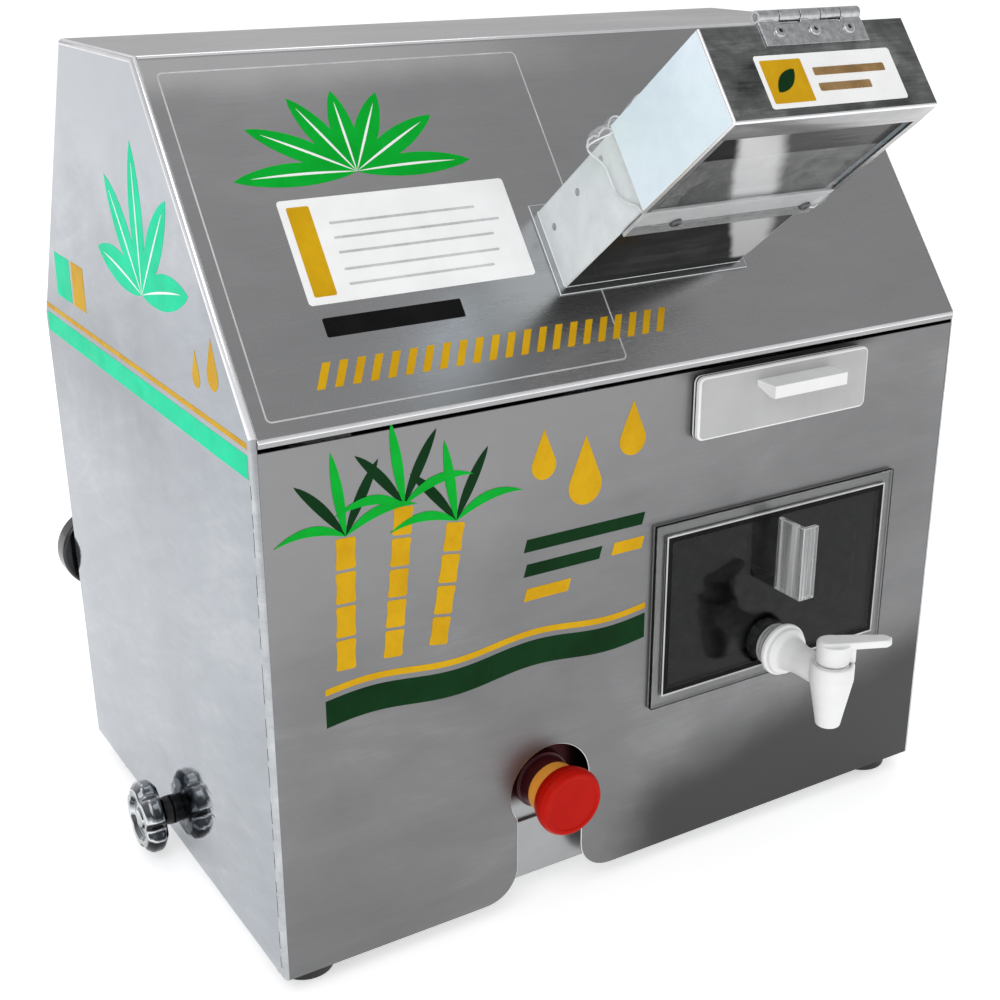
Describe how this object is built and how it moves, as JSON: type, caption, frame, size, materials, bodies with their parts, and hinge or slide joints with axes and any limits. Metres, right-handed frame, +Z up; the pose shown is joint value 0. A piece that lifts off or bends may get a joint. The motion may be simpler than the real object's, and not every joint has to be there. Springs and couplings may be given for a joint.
{
  "type": "electric sugarcane juicer",
  "caption": "Stainless table-top sugarcane juicer with a sloping hinged feed chute, stop button, strainer drawer, clear juice tank with a tap, and a geared roller mill inside.",
  "frame": {"origin": "on the floor under the middle of the whole object, chute and knobs included", "axes": "+X to the right as the user faces the front, -Y out of the front panel, +Z up"},
  "size_m": [0.4908, 0.4422, 0.493],
  "materials": {
    "brushed_stainless": "fine vertical brushing",
    "polished_stainless": "polished",
    "machine_steel": "machined",
    "cast_iron": "machined casting",
    "bronze": "turned bronze",
    "black_rubber": "matte",
    "clear_acrylic": "clear, polished",
    "clear_vinyl": "clear, soft",
    "white_plastic": "gloss",
    "chrome": "mirror",
    "grey_plastic": "satin",
    "black_plastic": "satin",
    "red_plastic": "satin",
    "yellow_plastic": "satin",
    "motor_paint": "hammered paint"
  },
  "bodies": {
    "cabinet": {"front_panel": "brushed_stainless", "slope_cover": "brushed_stainless", "left_side_panel": "brushed_stainless", "right_side_panel": "brushed_stainless", "rear_panel": "brushed_stainless", "base_tray": "machine_steel", "rubber_feet": "black_rubber", "switch_bracket": "brushed_stainless", "feed_duct": "polished_stainless", "hinge_fixed_leaf": "polished_stainless", "hinge_pin": "machine_steel", "clear_sleeve": "clear_vinyl", "sleeve_strip": "clear_acrylic", "sleeve_screws": "machine_steel", "left_frame_plate": "machine_steel", "right_cheek": "machine_steel", "mill_shelf": "brushed_stainless", "frame_rods": "brushed_stainless", "roller_bushes": "bronze", "trash_plate": "brushed_stainless", "juice_pan": "polished_stainless", "bagasse_chute": "polished_stainless", "drive_plate": "machine_steel", "shaft_bearings": "machine_steel", "v_belt": "black_rubber", "motor_body": "motor_paint", "motor_mount": "cast_iron", "drawer_rails": "brushed_stainless", "tank_platform": "brushed_stainless", "stop_collar": "yellow_plastic", "stop_block": "black_plastic", "cable_gland": "black_plastic"},
    "hood": {"feed_hood": "polished_stainless", "hinge_moving_leaf": "polished_stainless", "hinge_screws": "machine_steel"},
    "drawer": {"drawer_tray": "white_plastic", "drawer_front": "white_plastic", "strainer_mesh": "polished_stainless"},
    "tank": {"juice_tank": "clear_acrylic", "tank_pull": "clear_acrylic", "tap_body": "white_plastic", "tap_nuts": "grey_plastic"},
    "tap_lever": {"tap_lever": "white_plastic", "tap_seal": "grey_plastic"},
    "stop_stem": {"stop_stem": "machine_steel"},
    "stop_head": {"stop_head": "red_plastic"},
    "left_knob": {"left_knob": "chrome"},
    "right_knob": {"right_knob": "chrome"},
    "rear_knob": {"rear_knob": "black_plastic"},
    "back_roller": {"back_roller": "polished_stainless", "back_gear": "cast_iron", "main_gear": "cast_iron"},
    "top_roller": {"top_roller": "polished_stainless", "top_gear": "cast_iron"},
    "front_roller": {"front_roller": "polished_stainless", "front_gear": "cast_iron"},
    "pinion": {"pinion_shaft": "machine_steel", "large_pulley": "cast_iron"},
    "motor": {"motor_shaft": "machine_steel", "motor_pulley": "cast_iron"}
  },
  "joints": [
    {"name": "hood_swing", "type": "hinge", "parent": "cabinet", "child": "hood", "pos_m": [0.0233, -0.19001, 0.48998], "axis": [-1, 0, 0], "range_deg": [0, 100]},
    {"name": "drawer_slide", "type": "slide", "parent": "cabinet", "child": "drawer", "axis": [0, -1, 0], "range_m": [0, 0.11]},
    {"name": "tank_slide", "type": "slide", "parent": "cabinet", "child": "tank", "axis": [0, -1, 0], "range_m": [0, 0.16]},
    {"name": "tap_turn", "type": "hinge", "parent": "tank", "child": "tap_lever", "pos_m": [0.095, -0.17253, 0.1358], "axis": [0, 0, -1], "range_deg": [0, 90]},
    {"name": "stop_press", "type": "slide", "parent": "cabinet", "child": "stop_stem", "axis": [0, 1, 0], "range_m": [0, 0.005], "stiffness_N_per_m": 800},
    {"name": "stop_twist", "type": "hinge", "parent": "stop_stem", "child": "stop_head", "pos_m": [-0.0595, -0.12623, 0.076], "axis": [0, 1, 0], "range_deg": [0, 45], "stiffness_Nm_per_rad": 0.2},
    {"name": "left_knob_turn", "type": "hinge", "parent": "cabinet", "child": "left_knob", "pos_m": [-0.225, 0.04777, 0.026], "axis": [-1, 0, 0], "continuous": true},
    {"name": "right_knob_turn", "type": "hinge", "parent": "cabinet", "child": "right_knob", "pos_m": [0.225, 0.04777, 0.026], "axis": [1, 0, 0], "continuous": true},
    {"name": "rear_knob_turn", "type": "hinge", "parent": "cabinet", "child": "rear_knob", "pos_m": [-0.205, 0.20464, 0.13537], "axis": [0, 0.9985, -0.0551], "continuous": true},
    {"name": "back_roller_spin", "type": "hinge", "parent": "cabinet", "child": "back_roller", "pos_m": [0.0233, 0.00619, 0.332], "axis": [1, 0, 0], "continuous": true},
    {"name": "top_roller_spin", "type": "hinge", "parent": "cabinet", "child": "top_roller", "pos_m": [0.0233, -0.02681, 0.37474], "axis": [1, 0, 0], "continuous": true},
    {"name": "front_roller_spin", "type": "hinge", "parent": "cabinet", "child": "front_roller", "pos_m": [0.0233, -0.05982, 0.332], "axis": [1, 0, 0], "continuous": true},
    {"name": "pinion_spin", "type": "hinge", "parent": "cabinet", "child": "pinion", "pos_m": [-0.081, 0.08413, 0.287], "axis": [1, 0, 0], "continuous": true},
    {"name": "motor_spin", "type": "hinge", "parent": "cabinet", "child": "motor", "pos_m": [-0.195, 0.05177, 0.1], "axis": [1, 0, 0], "continuous": true}
  ],
  "couplings": [
    {"joint": "top_roller_spin", "follows": "back_roller_spin", "ratio": -1},
    {"joint": "front_roller_spin", "follows": "back_roller_spin", "ratio": 1},
    {"joint": "pinion_spin", "follows": "back_roller_spin", "ratio": -5},
    {"joint": "motor_spin", "follows": "back_roller_spin", "ratio": -20}
  ]
}
